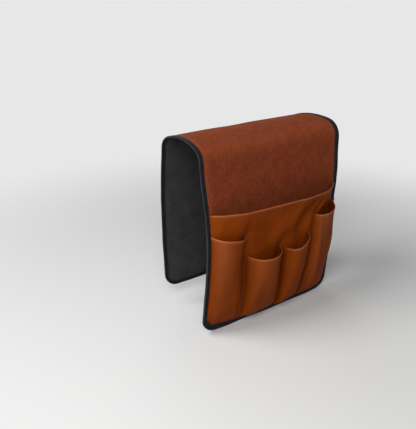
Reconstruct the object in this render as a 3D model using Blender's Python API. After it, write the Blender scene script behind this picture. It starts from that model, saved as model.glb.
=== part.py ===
"""Sofa armrest organizer.

A padded sheet of faux suede hangs over the arm of a sofa. Its outer flap carries one leatherette pocket for
magazines, as wide as the sheet, and four smaller pockets sewn on the front of it. A folded tape binds the
whole edge. Metres, +Z up. The origin is the middle of the sheet's underside, where it lies on the arm. X runs
along the arm, and the pockets face -Y.
"""

import math

import bmesh
import bpy
from mathutils import Matrix, Vector

# The sheet, and the arm that it hangs over
SHEET_WIDTH = 0.330
ARM_WIDTH = 0.126
CROWN_RADIUS = 0.130
BEND_RADIUS = 0.027
FLAP_LENGTH = 0.343
TAIL_LENGTH = 0.300
FLAP_LEAN = math.radians(8.8)
TAIL_LEAN = math.radians(6.0)
CORNER_RADIUS = 0.028

# Its layers, from the arm outwards
LINING = 0.0006
INTERLINING = 0.0010
COVER = 0.0008
LEATHER = 0.0008
LAYER_GAP = 0.0003
SPLIT_GAP = 0.0003

# The folded tape round the edge
TAPE = 0.0006
TAPE_LIP = 0.0080
TAPE_GAP = 0.0003
TAPE_FOLD_RADIUS = 0.0010
TAPE_RAMP = 0.0060
RIM_RAMP = 0.0060

# The magazine pocket, with heights measured up the flap from its bottom edge
POCKET_MARGIN = 0.0012
MAGAZINE_MOUTH = 0.2515
MAGAZINE_SWELL = 0.046
MAGAZINE_LEFT_FULLNESS = 5.5
MAGAZINE_RIGHT_FULLNESS = 3.2
MAGAZINE_SKEW_SHARE = 0.20
MAGAZINE_FLARE_SHARE = 0.50
MAGAZINE_BELLY_POWER = 0.6
MAGAZINE_FLARE_POWER = 7.0

# The four front pockets
SEAM_GAP = 0.0006
SEAM_FLANGE = 0.0040
SEAM_SPACING = 0.0004
POCKET_BELLY_POWER = 2.4
POCKET_CREST_POWER = 1.1
MOUTH_DIP = 0.0015
SHORT_SEAM_LEFT = -0.085
SHORT_SEAM_MIDDLE = 0.006
SHORT_SEAM_RIGHT = 0.074
LEFT_TALL_MOUTH = (0.214, 0.1995)
LEFT_TALL_SWELL = 0.018
LEFT_TALL_CREST_SHARE = 0.36
LEFT_SHORT_MOUTH = (0.157, 0.1555)
LEFT_SHORT_SWELL = 0.0295
LEFT_SHORT_CREST_SHARE = 0.45
RIGHT_SHORT_MOUTH = (0.151, 0.170)
RIGHT_SHORT_SWELL = 0.0285
RIGHT_SHORT_CREST_SHARE = 0.36
RIGHT_TALL_MOUTH = (0.2065, 0.211)
RIGHT_TALL_SWELL = 0.0225
RIGHT_TALL_CREST_SHARE = 0.45

# The hem that is turned in at each mouth
HEM_HEIGHT = 0.0060
HEM_THICKNESS = 0.0016
HEM_STEP = 0.0005

# How finely the curves are cut
CROWN_FACETS = 5
BEND_FACETS = 8
DROP_ROWS = 10
CORNER_STEPS = 6
MAGAZINE_COLUMNS = 34
POCKET_COLUMNS = 14
MAGAZINE_ROW_SHARES = (0.03, 0.07, 0.12, 0.18, 0.25, 0.33, 0.42, 0.51, 0.60, 0.68, 0.76, 0.84, 0.92)
POCKET_ROW_SHARES = (0.03, 0.08, 0.16, 0.28, 0.44, 0.62, 0.80)
SMOOTH_ANGLE = math.radians(35.0)

SUEDE_COLOUR = (0.165, 0.036, 0.015)
LEATHER_COLOUR = (0.170, 0.043, 0.009)
TAPE_COLOUR = (0.014, 0.018, 0.024)
FOAM_COLOUR = (0.300, 0.290, 0.270)
LINING_COLOUR = (0.030, 0.028, 0.027)

# Worked out from the sizes above
CROWN_ANGLE = math.asin((ARM_WIDTH / 2 - BEND_RADIUS) / (CROWN_RADIUS - BEND_RADIUS))
CROWN_STEP = 2 * CROWN_ANGLE / CROWN_FACETS
HALF_CROWN = CROWN_RADIUS * CROWN_ANGLE
SHEET_EDGE = SHEET_WIDTH / 2 - TAPE - TAPE_GAP
SHEET_CORNER = CORNER_RADIUS - TAPE - TAPE_GAP
INTERLINING_BASE = LINING + LAYER_GAP
COVER_BASE = INTERLINING_BASE + INTERLINING + LAYER_GAP
COVER_TOP = COVER_BASE + COVER
PANEL_TOP = COVER_TOP + LAYER_GAP + LEATHER
STACK_TOP = PANEL_TOP + SEAM_GAP + LEATHER
LIP_LINE = TAPE_LIP + POCKET_MARGIN
RIM_RISE = TAPE + TAPE_GAP


def clear_scene():
    """Remove whatever objects the scene holds."""
    for item in list(bpy.data.objects):
        bpy.data.objects.remove(item, do_unlink=True)


def make_material(name, colour, roughness):
    """A plain Principled material."""
    material = bpy.data.materials.new(name)
    material.use_nodes = True
    shader = material.node_tree.nodes["Principled BSDF"]
    shader.inputs["Base Color"].default_value = (*colour, 1.0)
    shader.inputs["Roughness"].default_value = roughness
    shader.inputs["Metallic"].default_value = 0.0
    material.diffuse_color = (*colour, 1.0)
    return material


def drop_of(side):
    """Lean and length of the sheet's hanging part: the outer flap at side -1, the inner tail at +1."""
    return (TAIL_LEAN, TAIL_LENGTH) if side > 0 else (FLAP_LEAN, FLAP_LENGTH)


def split_distance(side):
    """Distance along the underside from the crown's middle to the line where a hanging part begins."""
    lean, _ = drop_of(side)
    return HALF_CROWN + BEND_RADIUS * (math.pi / 2 - lean - CROWN_ANGLE)


def arc_normal(angle):
    """Unit vector in the YZ plane, straight up at angle zero and towards +Y at a right angle."""
    return Vector((0.0, math.sin(angle), math.cos(angle)))


def sheet_frame(s):
    """Point on the sheet's underside and its outward normal, at signed distance s from the crown's middle.

    Three arcs follow one another on each side: the crown, the bend over the arm's edge, and the hanging part,
    which bows outwards as padded cloth does.
    """
    side = 1.0 if s >= 0 else -1.0
    lean, length = drop_of(side)
    centre = Vector((0.0, 0.0, -CROWN_RADIUS * math.cos(CROWN_STEP / 2)))
    radius = CROWN_RADIUS
    angle = abs(s) / CROWN_RADIUS
    if abs(s) > HALF_CROWN:
        centre += arc_normal(side * CROWN_ANGLE) * (CROWN_RADIUS - BEND_RADIUS)
        radius = BEND_RADIUS
        angle = CROWN_ANGLE + (abs(s) - HALF_CROWN) / BEND_RADIUS
    if abs(s) > split_distance(side):
        bow_radius = length / (2 * lean)
        start = math.pi / 2 - lean
        centre += arc_normal(side * start) * (BEND_RADIUS - bow_radius)
        radius = bow_radius
        angle = start + (abs(s) - split_distance(side)) / bow_radius
    normal = arc_normal(side * angle)
    return centre + normal * radius, normal


def sheet_point(x, s, offset):
    """World point at x along the arm, s along the underside and offset outwards from it."""
    point, normal = sheet_frame(s)
    return Vector((x, 0.0, 0.0)) + point + normal * offset


def drop_s(side, height):
    """Signed distance along the underside of a point this high above a hanging part's bottom edge."""
    _, length = drop_of(side)
    return side * (split_distance(side) + length - height)


def edge_height(x, inset):
    """Height of the bottom outline at x, with its rounded corners, moved in from the binding's outer edge."""
    radius = CORNER_RADIUS - inset
    reach = abs(x) - (SHEET_WIDTH / 2 - CORNER_RADIUS)
    if reach <= 0:
        return inset
    return CORNER_RADIUS - math.sqrt(max(radius ** 2 - min(reach, radius) ** 2, 0.0))


def lip_height(x):
    """Height at which the tape's lip ends at x, always some way above the sheet's bottom edge there."""
    return max(edge_height(x, LIP_LINE + TAPE + TAPE_GAP), edge_height(x, TAPE + TAPE_GAP) + LIP_LINE)


def rim_rise(x, height=CORNER_RADIUS):
    """How far the lining is pressed outwards: all the way under the tape, which then lies flush with it."""
    reach = max(abs(x) - (SHEET_WIDTH / 2 - CORNER_RADIUS), 0.0)
    below = max(CORNER_RADIUS - height, 0.0)
    inwards = SHEET_CORNER - math.hypot(reach, below)
    return RIM_RISE * max(0.0, min(1.0, (LIP_LINE + RIM_RAMP - inwards) / RIM_RAMP))


def smooth(item):
    """Shade an object smooth, with its folds kept sharp."""
    item.data.shade_smooth()
    item.data.set_sharp_from_angle(angle=SMOOTH_ANGLE)


def add_object(name, mesh, material, pivot):
    """Link a mesh as an object whose origin is its body's pivot."""
    mesh.materials.append(material)
    mesh.transform(Matrix.Translation(-pivot.location))
    item = bpy.data.objects.new(name, mesh)
    bpy.context.scene.collection.objects.link(item)
    item.parent = pivot
    smooth(item)
    return item


def grid_mesh(name, columns):
    """A mesh of quads through columns of points, with its faces turned outwards from the arm."""
    shape = bmesh.new()
    verts = [[shape.verts.new(point) for point in column] for column in columns]
    for left, right in zip(verts, verts[1:]):
        for low in range(len(left) - 1):
            shape.faces.new((left[low], right[low], right[low + 1], left[low + 1]))
    mesh = bpy.data.meshes.new(name)
    shape.to_mesh(mesh)
    shape.free()
    return mesh


def slab_mesh(name, under, over):
    """A closed layer between two grids of points, cut into the same triangles on both faces."""
    shape = bmesh.new()
    grids = [[[shape.verts.new(point) for point in column] for column in grid] for grid in (under, over)]
    last_column = len(under) - 1
    last_row = len(under[0]) - 1
    for grid in grids:
        for left, right in zip(grid, grid[1:]):
            for row in range(last_row):
                shape.faces.new((left[row], right[row], right[row + 1]))
                shape.faces.new((left[row], right[row + 1], left[row + 1]))
    rim = [(column, 0) for column in range(last_column)] + [(last_column, row) for row in range(last_row)]
    rim += [(last_column - column, last_row - row) for column, row in rim]
    for here, there in zip(rim, rim[1:] + rim[:1]):
        edge = [grids[0][column][row] for column, row in (here, there)]
        edge += [grids[1][column][row] for column, row in (there, here)]
        shape.faces.new(edge)
    bmesh.ops.recalc_face_normals(shape, faces=shape.faces)
    mesh = bpy.data.meshes.new(name)
    shape.to_mesh(mesh)
    shape.free()
    return mesh


def edge_columns():
    """Places across the sheet: close together at the rounded corners, with one wide span between the rims."""
    side = [SHEET_EDGE - SHEET_CORNER + SHEET_CORNER * math.sin(math.pi / 2 * step / CORNER_STEPS)
            for step in range(CORNER_STEPS + 1)]
    side = sorted(side + rim_columns())
    return [-x for x in reversed(side)] + side


def rim_columns():
    """Places on one side of the sheet where the ramp of its pressed rim starts and ends."""
    return [SHEET_EDGE - LIP_LINE - RIM_RAMP, SHEET_EDGE - LIP_LINE]


def saddle_stations():
    """Distances along the underside where the saddle is cut into facets, from one split to the other."""
    crown = [CROWN_RADIUS * CROWN_STEP * (step - CROWN_FACETS / 2) for step in range(CROWN_FACETS + 1)]
    outer = []
    inner = []
    for step in range(1, BEND_FACETS + 1):
        share = step / BEND_FACETS
        outer.append(-HALF_CROWN - share * (split_distance(-1) - HALF_CROWN))
        inner.append(HALF_CROWN + share * (split_distance(1) - HALF_CROWN))
    return list(reversed(outer)) + crown + inner


def saddle_layer(name, faces, material, pivot):
    """One layer of the sheet where it lies on the arm, between two faces given as in LAYERS."""
    side = rim_columns() + [SHEET_EDGE]
    places = [-x for x in reversed(side)] + side
    grids = [[[sheet_point(x, s, offset + follow_share * rim_rise(x)) for s in saddle_stations()]
              for x in places] for offset, follow_share in faces]
    return add_object(name, slab_mesh(name, *grids), material, pivot)


def drop_layer(name, side, faces, material, pivot):
    """One layer of a hanging part, with the rounded corners at its bottom edge."""
    _, length = drop_of(side)
    grids = []
    for offset, follow_share in faces:
        columns = []
        for x in edge_columns():
            lip = lip_height(x)
            low = max(edge_height(x, LIP_LINE + RIM_RAMP + TAPE + TAPE_GAP), lip + RIM_RAMP)
            high = length - SPLIT_GAP
            heights = [edge_height(x, TAPE + TAPE_GAP), lip]
            heights += [low + (high - low) * row / DROP_ROWS for row in range(DROP_ROWS + 1)]
            columns.append([sheet_point(x, drop_s(side, height), offset + follow_share * rim_rise(x, height))
                            for height in heights])
        grids.append(columns)
    return add_object(name, slab_mesh(name, *grids), material, pivot)


def tape_section(stack):
    """The folded tape's outline as pairs (outwards past the sheet's edge, outwards from the underside)."""
    back = RIM_RISE - TAPE_GAP
    front = stack + TAPE_GAP
    web = TAPE_GAP
    fold = TAPE_FOLD_RADIUS
    return [
        (-TAPE_LIP, back - TAPE),
        (web + TAPE - fold, back - TAPE),
        (web + TAPE, back - TAPE + fold),
        (web + TAPE, front + TAPE - fold),
        (web + TAPE - fold, front + TAPE),
        (-TAPE_LIP, front + TAPE),
        (-TAPE_LIP, front),
        (web, front),
        (web, back),
        (-TAPE_LIP, back),
    ]


def tape_loft(name, rings, material, pivot):
    """Bridge the tape's rings of points into one closed solid."""
    shape = bmesh.new()
    loops = [[shape.verts.new(point) for point in ring] for ring in rings]
    count = len(loops[0])
    for first, second in zip(loops, loops[1:]):
        for place in range(count):
            after = (place + 1) % count
            shape.faces.new((first[place], first[after], second[after], second[place]))
    shape.faces.new(list(reversed(loops[0])))
    shape.faces.new(loops[-1])
    bmesh.ops.recalc_face_normals(shape, faces=shape.faces)
    mesh = bpy.data.meshes.new(name)
    shape.to_mesh(mesh)
    shape.free()
    return add_object(name, mesh, material, pivot)


def saddle_tape(name, edge_side, material, pivot):
    """The tape along one edge of the saddle."""
    rings = []
    for s in saddle_stations():
        section = tape_section(COVER_TOP)
        rings.append([sheet_point(edge_side * (SHEET_EDGE + out), s, offset) for out, offset in section])
    return tape_loft(name, rings, material, pivot)


def side_heights(length, marks):
    """Heights of the tape's rings up one side: evenly spaced, with pairs where its stack steps."""
    low = CORNER_RADIUS
    high = length - SPLIT_GAP
    heights = [low + (high - low) * row / DROP_ROWS for row in range(DROP_ROWS + 1)]
    spacing = (high - low) / DROP_ROWS
    steps = [height for mark in marks for height in (mark, mark + TAPE_RAMP)]
    plain = [height for height in heights[1:-1] if all(abs(height - step) > spacing / 4 for step in steps)]
    return sorted([heights[0], heights[-1]] + plain + steps)


def drop_tape(name, side, stack_at, marks, material, pivot):
    """The tape down one edge of a hanging part, round its corners, along the bottom and up the other edge."""
    _, length = drop_of(side)
    corner_x = SHEET_WIDTH / 2 - CORNER_RADIUS
    route = []
    for edge_side in (-1, 1):
        upright = [(edge_side * SHEET_EDGE, height, edge_side, 0.0)
                   for height in side_heights(length, marks[edge_side])]
        corner = []
        for step in range(1, CORNER_STEPS + 1):
            angle = math.pi / 2 * step / CORNER_STEPS
            out_x = edge_side * math.cos(angle)
            out_height = -math.sin(angle)
            corner.append((edge_side * corner_x + SHEET_CORNER * out_x,
                           CORNER_RADIUS + SHEET_CORNER * out_height, out_x, out_height))
        half = list(reversed(upright)) + corner
        route += half if edge_side < 0 else list(reversed(half))
    rings = []
    for x, height, out_x, out_height in route:
        section = tape_section(stack_at(x, height))
        rings.append([sheet_point(x + out_x * out, drop_s(side, height + out_height * out), offset)
                      for out, offset in section])
    return tape_loft(name, rings, material, pivot)


def flap_stack(x, height):
    """How thick the flap's edge is under the tape: the sheet, then one or two layers of leather on it."""
    tall = TALL_MOUTHS[-1] if x < 0 else TALL_MOUTHS[1]
    if height <= tall:
        return STACK_TOP
    if height <= MAGAZINE_MOUTH:
        return PANEL_TOP
    return COVER_TOP


def magazine_swell(x, height):
    """How far the magazine pocket's front stands off where it would lie flat."""
    half = SHEET_EDGE - LIP_LINE
    across = max(-1.0, min(1.0, x / half))
    low = edge_height(x, LIP_LINE + TAPE + TAPE_GAP)
    up = max(0.0, min(1.0, (height - low) / (MAGAZINE_MOUTH - low)))
    fullness = MAGAZINE_LEFT_FULLNESS if x < 0 else MAGAZINE_RIGHT_FULLNESS
    bulge = (1 - abs(across) ** fullness) * (1 + MAGAZINE_SKEW_SHARE * across)
    flare = MAGAZINE_FLARE_SHARE * up ** MAGAZINE_FLARE_POWER
    belly = (1 - MAGAZINE_FLARE_SHARE) * up ** MAGAZINE_BELLY_POWER
    return MAGAZINE_SWELL * bulge * (belly + flare)


def pocket_heights(x, mouth, shares):
    """Heights of a pocket's rows at x: the edge under the tape, the tape's lip, the belly, then the hem."""
    under = edge_height(x, TAPE + TAPE_GAP)
    lip = lip_height(x)
    belly = mouth - HEM_HEIGHT - HEM_STEP - lip
    return ([under, lip] + [lip + belly * share for share in shares]
            + [mouth - HEM_HEIGHT - HEM_STEP, mouth - HEM_HEIGHT, mouth])


def pocket_sheet(name, columns, hem_columns, material, pivot):
    """A leather sheet through the columns of points, thicker where its hem is turned in at the mouth."""
    rows = len(columns[0])
    item = add_object(name, grid_mesh(name, columns), material, pivot)
    hem = item.vertex_groups.new(name="hem")
    for number in hem_columns:
        hem.add([number * rows + rows - 2, number * rows + rows - 1], 1.0, "REPLACE")
    wall = item.modifiers.new("Thickness", "SOLIDIFY")
    wall.thickness = HEM_THICKNESS
    wall.offset = 0.0
    wall.use_even_offset = True
    wall.use_quality_normals = True
    wall.vertex_group = hem.name
    wall.thickness_vertex_group = LEATHER / HEM_THICKNESS
    return item


def magazine_pocket(material, pivot):
    """The pocket as wide as the sheet, which gapes at its mouth."""
    half = SHEET_EDGE - LIP_LINE
    places = [-half + 2 * half * step / MAGAZINE_COLUMNS for step in range(MAGAZINE_COLUMNS + 1)]
    places = [-SHEET_EDGE] + places + [SHEET_EDGE]
    columns = []
    for x in places:
        heights = pocket_heights(x, MAGAZINE_MOUTH, MAGAZINE_ROW_SHARES)
        columns.append([sheet_point(x, drop_s(-1, height),
                                    PANEL_TOP - LEATHER / 2 + magazine_swell(x, height))
                        for height in heights])
    return pocket_sheet("magazine_pocket", columns, range(2, len(columns) - 2), material, pivot)


def front_pocket(name, spec, material, pivot):
    """One of the four smaller pockets: a leather sheet bellied out between two seams."""
    left, right, left_flange, right_flange, left_mouth, right_mouth, swell, crest_share = spec
    start = left + left_flange
    end = right - right_flange
    skew = math.log(crest_share) / math.log(0.5)
    places = [(left, 0.0)]
    for step in range(POCKET_COLUMNS + 1):
        angle = math.pi * step / POCKET_COLUMNS
        across = ((1 - math.cos(angle)) / 2) ** skew
        places.append((start + (end - start) * across, math.sin(angle)))
    places.append((right, 0.0))
    columns = []
    for x, crest in places:
        across = (x - left) / (right - left)
        mouth = left_mouth + (right_mouth - left_mouth) * across - MOUTH_DIP * crest
        low = edge_height(x, LIP_LINE + TAPE + TAPE_GAP)
        column = []
        for height in pocket_heights(x, mouth, POCKET_ROW_SHARES):
            up = max(0.0, (height - low) / (mouth - low))
            belly = math.sqrt(1 - (1 - up) ** POCKET_BELLY_POWER) * crest ** POCKET_CREST_POWER
            offset = STACK_TOP - LEATHER / 2 + magazine_swell(x, height) + swell * belly
            column.append(sheet_point(x, drop_s(-1, height), offset))
        columns.append(column)
    return pocket_sheet(name, columns, range(3, len(columns) - 3), material, pivot)


def make_pivot(name, location):
    """An empty that a body's pieces hang from."""
    pivot = bpy.data.objects.new(name, None)
    pivot.location = location
    bpy.context.scene.collection.objects.link(pivot)
    return pivot


def hinge_point(side):
    """Middle of a hinge: the tape's outer face, halfway across the gap at the split."""
    return sheet_point(0.0, side * (split_distance(side) + SPLIT_GAP / 2), COVER_TOP + TAPE_GAP + TAPE)


# Each front pocket from left to right: its two edges, the flat flange along each, the heights of its mouth's
# two ends, how far it swells, and where its crest stands as a share of its width
FRONT_POCKETS = {
    "left_tall_pocket": (-SHEET_EDGE, SHORT_SEAM_LEFT - SEAM_SPACING, LIP_LINE, SEAM_FLANGE,
                         LEFT_TALL_MOUTH[0], LEFT_TALL_MOUTH[1], LEFT_TALL_SWELL, LEFT_TALL_CREST_SHARE),
    "left_short_pocket": (SHORT_SEAM_LEFT + SEAM_SPACING, SHORT_SEAM_MIDDLE - SEAM_SPACING, SEAM_FLANGE,
                          SEAM_FLANGE, LEFT_SHORT_MOUTH[0], LEFT_SHORT_MOUTH[1], LEFT_SHORT_SWELL,
                          LEFT_SHORT_CREST_SHARE),
    "right_short_pocket": (SHORT_SEAM_MIDDLE + SEAM_SPACING, SHORT_SEAM_RIGHT - SEAM_SPACING, SEAM_FLANGE,
                           SEAM_FLANGE, RIGHT_SHORT_MOUTH[0], RIGHT_SHORT_MOUTH[1], RIGHT_SHORT_SWELL,
                           RIGHT_SHORT_CREST_SHARE),
    "right_tall_pocket": (SHORT_SEAM_RIGHT + SEAM_SPACING, SHEET_EDGE, SEAM_FLANGE, LIP_LINE,
                          RIGHT_TALL_MOUTH[0], RIGHT_TALL_MOUTH[1], RIGHT_TALL_SWELL, RIGHT_TALL_CREST_SHARE),
}
TALL_MOUTHS = {-1: LEFT_TALL_MOUTH[0], 1: RIGHT_TALL_MOUTH[1]}

# Each layer's inner and outer face: its distance from the underside, and its share of the rim's rise
LAYERS = {
    "lining": ((0.0, 1.0), (LINING, 1.0)),
    "interlining": ((INTERLINING_BASE, 1.0), (COVER_BASE - LAYER_GAP, 0.0)),
    "cover": ((COVER_BASE, 0.0), (COVER_TOP, 0.0)),
}


def build():
    """Make every piece."""
    clear_scene()
    suede = make_material("suede", SUEDE_COLOUR, 0.9)
    leather = make_material("leather", LEATHER_COLOUR, 0.42)
    tape = make_material("binding_tape", TAPE_COLOUR, 0.7)
    foam = make_material("interlining_foam", FOAM_COLOUR, 0.95)
    lining = make_material("non_slip_lining", LINING_COLOUR, 0.85)
    materials = {"lining": lining, "interlining": foam, "cover": suede}
    saddle = make_pivot("saddle", (0.0, 0.0, 0.0))
    flap = make_pivot("outer_flap", hinge_point(-1))
    tail = make_pivot("inner_tail", hinge_point(1))
    for layer, faces in LAYERS.items():
        saddle_layer("saddle_" + layer, faces, materials[layer], saddle)
        drop_layer("flap_" + layer, -1, faces, materials[layer], flap)
        drop_layer("tail_" + layer, 1, faces, materials[layer], tail)
    saddle_tape("saddle_binding_left", -1, tape, saddle)
    saddle_tape("saddle_binding_right", 1, tape, saddle)
    drop_tape("flap_binding", -1, flap_stack,
              {side: (TALL_MOUTHS[side], MAGAZINE_MOUTH) for side in (-1, 1)}, tape, flap)
    drop_tape("tail_binding", 1, lambda x, height: COVER_TOP, {-1: (), 1: ()}, tape, tail)
    magazine_pocket(leather, flap)
    for name, spec in FRONT_POCKETS.items():
        front_pocket(name, spec, leather, flap)


build()
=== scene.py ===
import math

import bmesh
import bpy
import mathutils
import numpy as np
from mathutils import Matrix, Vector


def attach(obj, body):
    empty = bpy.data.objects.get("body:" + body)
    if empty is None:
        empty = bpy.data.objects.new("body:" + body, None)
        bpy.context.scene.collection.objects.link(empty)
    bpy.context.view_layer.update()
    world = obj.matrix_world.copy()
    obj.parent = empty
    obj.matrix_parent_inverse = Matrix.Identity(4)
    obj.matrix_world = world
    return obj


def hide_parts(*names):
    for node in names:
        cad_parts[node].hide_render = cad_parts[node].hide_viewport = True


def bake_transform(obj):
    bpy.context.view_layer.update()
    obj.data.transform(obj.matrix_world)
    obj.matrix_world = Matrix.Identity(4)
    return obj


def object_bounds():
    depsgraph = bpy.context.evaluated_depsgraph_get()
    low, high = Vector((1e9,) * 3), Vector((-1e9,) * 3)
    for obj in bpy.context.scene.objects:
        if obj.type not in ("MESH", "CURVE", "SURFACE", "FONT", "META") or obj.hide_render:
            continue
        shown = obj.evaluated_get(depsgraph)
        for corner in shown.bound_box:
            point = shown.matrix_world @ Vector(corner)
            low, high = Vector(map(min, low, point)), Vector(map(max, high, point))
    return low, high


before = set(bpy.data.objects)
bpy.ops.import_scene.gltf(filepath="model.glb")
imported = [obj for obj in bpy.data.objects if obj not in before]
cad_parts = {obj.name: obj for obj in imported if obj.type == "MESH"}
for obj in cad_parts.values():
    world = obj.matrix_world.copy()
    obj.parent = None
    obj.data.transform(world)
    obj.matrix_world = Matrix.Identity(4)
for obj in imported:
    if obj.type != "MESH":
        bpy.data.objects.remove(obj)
cadBox = [list(corner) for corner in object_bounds()]
print("frame loaded with", len(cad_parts), "nodes")

# Every soft piece is modelled flat, as it is cut and sewn: X across the sheet, Y down it from the middle of
# the crown, Z out from its underside. One geometry node group then drapes it all. Metres.
sheet = {
    "width": 0.330,
    "cornerRadius": 0.028,
    "armWidth": 0.126,
    "crownRadius": 0.130,
    "bendRadius": 0.027,
    "crownFacets": 5,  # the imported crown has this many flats, and the middle one lies at height zero
    "hinge": 0.012,  # a reach from this far above the hinge to this far below
}
outerFlap = {"name": "Outer", "part": "flap", "side": -1.0, "lean": math.radians(8.8), "length": 0.343,
             "body": "outer_flap", "joint": "outer_flap_lift"}
innerTail = {"name": "Inner", "part": "tail", "side": 1.0, "lean": math.radians(6.0), "length": 0.300,
             "body": "inner_tail", "joint": "inner_tail_lift"}
layer = {"lining": 0.0006, "foam": 0.0010, "cover": 0.0008, "leather": 0.0008,
         "gap": 0.0003, "seamGap": 0.0006}
tape = {
    "thickness": 0.0006,
    "lip": 0.0083,
    "lipDrift": 0.0015,  # the lip is this much wider at +X, and narrower at -X
    "lipLow": (0.0075, -0.140, 0.042),  # the flap's is wider still round this place on its bottom edge
    "lowTop": 0.010, "lowFade": 0.040,  # up to this height, and fading over this much more
    "gap": 0.0003,
    "ramp": 0.0060,  # it climbs onto a layer of leather over this length
    "foldRadius": 0.0022, "foldSpare": 0.00005,
    "spacing": 0.0030,
    "stitchIn": 0.0019,  # from the lip's edge
    # its face swells by this much from this share of its width on, and is tucked in nearer the lip
    "puff": 0.00030, "puffUneven": 0.6, "puffWave": 0.018, "puffFrom": 0.22, "tuck": 0.4, "tuckTo": 0.3,
    "lipWander": 0.00025, "lipWave": 0.060, "lipRound": (0.35, 0.5),
    "edgeWander": 0.0002, "edgeOut": 1.2, "edgeWave": 0.050, "rubFrom": 0.2,
    "cornerPoints": 17, "foldPoints": 7,
    "margin": 0.0005,  # from the lip to where the leather starts to swell
}
magazine = {
    "mouth": 0.2515, "swell": 0.046, "leftFullness": 5.5, "rightFullness": 3.2, "skewShare": 0.20,
    "flareShare": 0.50, "bellyPower": 0.6, "flarePower": 7.0,
    "columns": 140, "rows": 110, "evenShare": 0.75, "ramp": 0.006,
    "drift": 0.0007, "driftUp": 0.5, "driftLength": 0.050, "fine": 0.00012, "fineLength": 0.020,
    "flangeColumns": 6, "hemLeast": 0.1, "stitchesFrom": 0.002,
    "shade": {"full": 0.006, "most": 0.5, "share": 0.5},
}
crownReach = sheet["armWidth"] / 2 - sheet["bendRadius"]
crownAngle = math.asin(crownReach / (sheet["crownRadius"] - sheet["bendRadius"]))
halfCrown = sheet["crownRadius"] * crownAngle
crownSink = sheet["crownRadius"] * math.cos(crownAngle / sheet["crownFacets"])
tapeWall = tape["thickness"] + tape["gap"]
sheetEdge = sheet["width"] / 2 - tapeWall
coverBase = layer["lining"] + layer["foam"] + 2 * layer["gap"]
coverTop = coverBase + layer["cover"]
panelTop = coverTop + layer["gap"] + layer["leather"]
stackTop = panelTop + layer["seamGap"] + layer["leather"]


def smoothStep(share):
    share = np.clip(share, 0.0, 1.0)
    return share * share * (3 - 2 * share)


def hump(value, place, reach):  # a smooth hump of height one
    return np.exp(-((value - place) / reach) ** 2)


def splitPlace(half):  # distance down the sheet of the line where a hanging part begins
    return halfCrown + sheet["bendRadius"] * (math.pi / 2 - half["lean"] - crownAngle)


def fullLength(half):
    return splitPlace(half) + half["length"]


def edgeHeight(x, inset):  # height of the rounded bottom outline, moved in from the binding's outer edge
    radius = sheet["cornerRadius"] - inset
    reach = np.clip(np.abs(x) - (sheet["width"] / 2 - sheet["cornerRadius"]), 0.0, radius)
    return sheet["cornerRadius"] - np.sqrt(radius ** 2 - reach ** 2)


def inwards(half, x, down):  # how far a place lies in from the sheet's cut edge
    corner = sheet["cornerRadius"] - tapeWall
    reach = np.maximum(np.abs(x) - (sheet["width"] / 2 - sheet["cornerRadius"]), 0.0)
    below = np.maximum(sheet["cornerRadius"] - (fullLength(half) - down), 0.0)
    return corner - np.hypot(reach, below)


def softWaves(u, v, wavelength, seed, count=10):  # a smooth random field of about this wavelength
    draw = np.random.default_rng(seed)
    turns = draw.uniform(0, 2 * math.pi, count)
    lengths = wavelength * draw.uniform(0.7, 1.5, count)
    phases = draw.uniform(0, 2 * math.pi, count)
    total = 0.0
    for turn, length, phase in zip(turns, lengths, phases):
        total = total + np.sin((u * math.cos(turn) + v * math.sin(turn)) * 2 * math.pi / length + phase)
    return total / math.sqrt(count)


def lipAt(half, x, height, top):
    # how far the tape's front lip reaches in: less where it folds round a thicker stack
    wide, place, reach = tape["lipLow"]
    low = hump(x, place, reach) * (1 - smoothStep((height - tape["lowTop"]) / tape["lowFade"]))
    low = low * (half is outerFlap)
    return tape["lip"] + tape["lipDrift"] * x / sheetEdge + wide * low - (top - coverTop) / 2


def leatherLine(x, height):  # how far in from the cut edge the leather starts to swell
    return lipAt(outerFlap, x, height, stackTop) + tape["margin"]


# The whole sheet is a little limp, and every layer follows these bulges and waves together. Each of the
# flap's bulges has its edge of the sheet, its depth there, its height above the bottom, and its reach
limp = {
    "bulges": ((-1, 0.0052, 0.185, 0.080), (-1, -0.0040, 0.318, 0.048),
               (1, -0.0062, 0.195, 0.045), (1, -0.0044, 0.070, 0.065), (1, 0.0030, 0.285, 0.036)),
    "cornerUp": 0.0070, "cornerDown": 0.058, "cornerReach": 0.040,  # the crown's far front corner
    "pull": 0.0050, "pullReach": 0.036, "pullPower": 9,  # the near bottom corner is drawn up a little
    # where the bottom edge hangs lower: place, drop and reach
    "hangs": ((0.030, 0.0028, 0.080), (-0.100, 0.0014, 0.025)), "hangReach": 0.040,
    "edgeWave": 0.0008, "edgeReach": 0.110, "edgeLength": 0.115, "edgePhase": 2.2,
    "sag": 0.0005, "sagLength": 0.120, "sagFrom": 0.050,
}


def rippled(half, x, down, out):
    across = np.clip(x / sheetEdge, -1, 1)
    height = fullLength(half) - down
    near = smoothStep(1 - height / limp["edgeReach"])
    lift = np.sin(2 * math.pi * x / limp["edgeLength"] + limp["edgePhase"]) * limp["edgeWave"] * near
    sag = softWaves(x, down, limp["sagLength"], 5) * limp["sag"]
    lift = lift + sag * smoothStep(down / limp["sagFrom"])
    corner = hump(down, -half["side"] * limp["cornerDown"], limp["cornerReach"])
    lift = lift + limp["cornerUp"] * np.maximum(across, 0) ** 3 * corner
    if half is outerFlap:
        for edge, deep, place, reach in limp["bulges"]:
            lift = lift + deep * np.maximum(edge * across, 0) * hump(height, place, reach)
        drawn = np.maximum(-across, 0) ** limp["pullPower"] * hump(height, 0, limp["pullReach"])
        down = down - limp["pull"] * drawn
        for place, lower, reach in limp["hangs"]:
            down = down + lower * hump(x, place, reach) * hump(height, 0, limp["hangReach"])
    return np.stack(np.broadcast_arrays(x, down, out + lift), axis=-1)


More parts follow.
